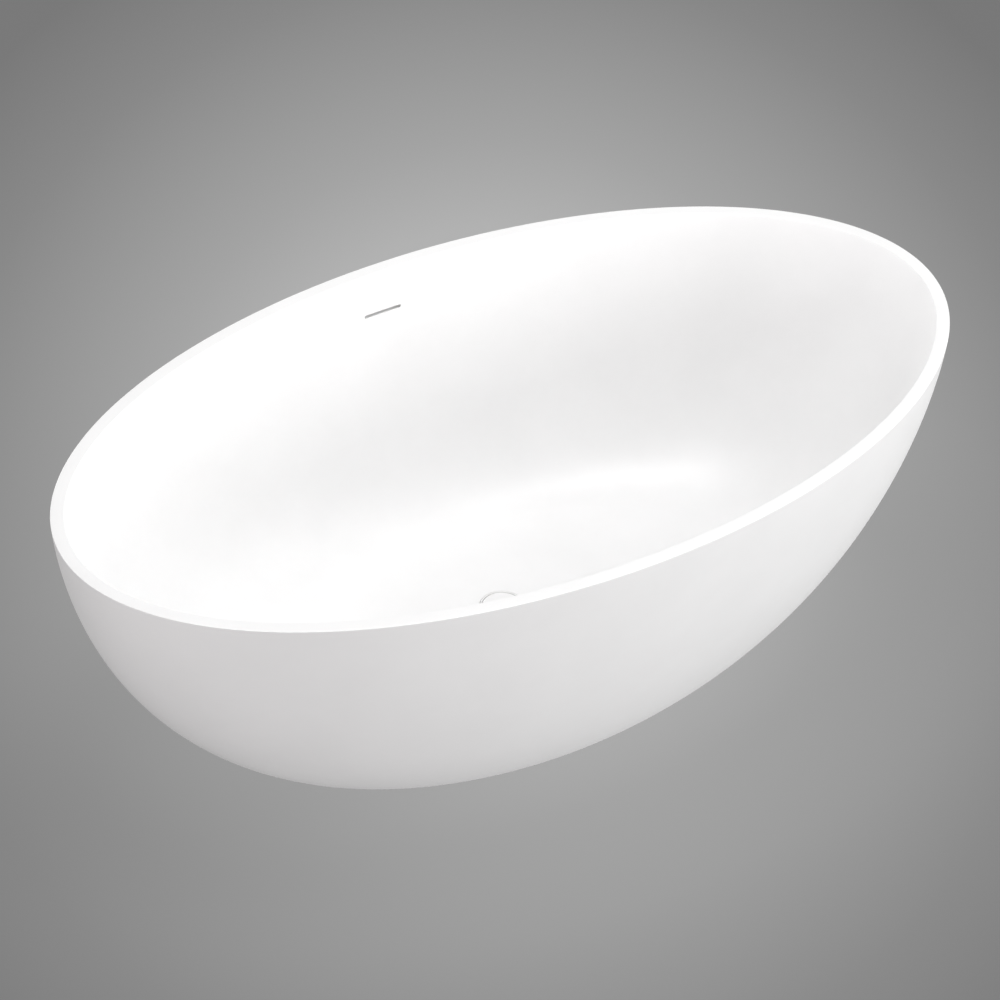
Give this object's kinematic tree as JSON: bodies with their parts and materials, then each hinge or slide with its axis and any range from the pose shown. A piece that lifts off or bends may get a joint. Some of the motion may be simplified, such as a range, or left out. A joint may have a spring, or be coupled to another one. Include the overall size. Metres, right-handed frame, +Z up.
{
  "type": "freestanding bathtub",
  "caption": "Oval double-ended freestanding bath with a thin flat rim, slot overflow, click waste, shallow trap and levelling feet inside its skirt.",
  "frame": {"origin": "on the floor, under the middle of the bath", "axes": "+X along the bath, +Y across it towards the side with the overflow slot, +Z up"},
  "size_m": [1.6996, 0.9257, 0.57],
  "materials": {
    "cast_resin": "smooth matt to satin white cast mineral resin",
    "bond": "colour-matched white adhesive, sanded flush",
    "white_coated_metal": "matt white coating over brass",
    "steel": "zinc-plated steel",
    "brass": "machined brass",
    "chrome": "polished chrome",
    "rubber": "black rubber",
    "white_plastic": "moulded white plastic",
    "grey_hose": "flexible grey plastic hose"
  },
  "bodies": {
    "bath": {"basin": "cast_resin", "skirt": "cast_resin", "rim_bond": "bond", "cross_bearer_left": "steel", "cross_bearer_right": "steel", "side_rail_front": "steel", "side_rail_back": "steel", "bearer_screws": "steel", "foot_inserts": "brass", "foot_lock_nuts": "steel", "overflow_gasket": "rubber", "overflow_chute": "white_plastic", "overflow_hose": "grey_hose", "hose_clips": "steel", "waste_flange": "white_coated_metal", "flange_gasket": "rubber", "underside_gasket": "rubber", "waste_body": "white_plastic", "click_cartridge": "chrome", "cartridge_spring": "steel", "trap_body": "white_plastic", "trap_nut": "white_plastic", "trap_washer": "rubber", "outlet_nut": "white_plastic", "outlet_washer": "rubber", "outlet_elbow": "white_plastic"},
    "plug": {"plug_cap": "white_coated_metal", "plug_seal": "rubber", "plug_stem": "brass"},
    "foot_1": {"foot_stud_1": "steel", "foot_pad_1": "rubber"},
    "foot_2": {"foot_stud_2": "steel", "foot_pad_2": "rubber"},
    "foot_3": {"foot_stud_3": "steel", "foot_pad_3": "rubber"},
    "foot_4": {"foot_stud_4": "steel", "foot_pad_4": "rubber"}
  },
  "joints": [
    {"name": "plug_lift", "type": "slide", "parent": "bath", "child": "plug", "axis": [0, 0, 1], "range_m": [0, 0.008], "deforming": ["cartridge_spring"]},
    {"name": "foot_1_screw", "type": "slide", "parent": "bath", "child": "foot_1", "axis": [0, 0, -1], "range_m": [0, 0.02]},
    {"name": "foot_2_screw", "type": "slide", "parent": "bath", "child": "foot_2", "axis": [0, 0, -1], "range_m": [0, 0.02]},
    {"name": "foot_3_screw", "type": "slide", "parent": "bath", "child": "foot_3", "axis": [0, 0, -1], "range_m": [0, 0.02]},
    {"name": "foot_4_screw", "type": "slide", "parent": "bath", "child": "foot_4", "axis": [0, 0, -1], "range_m": [0, 0.02]}
  ]
}
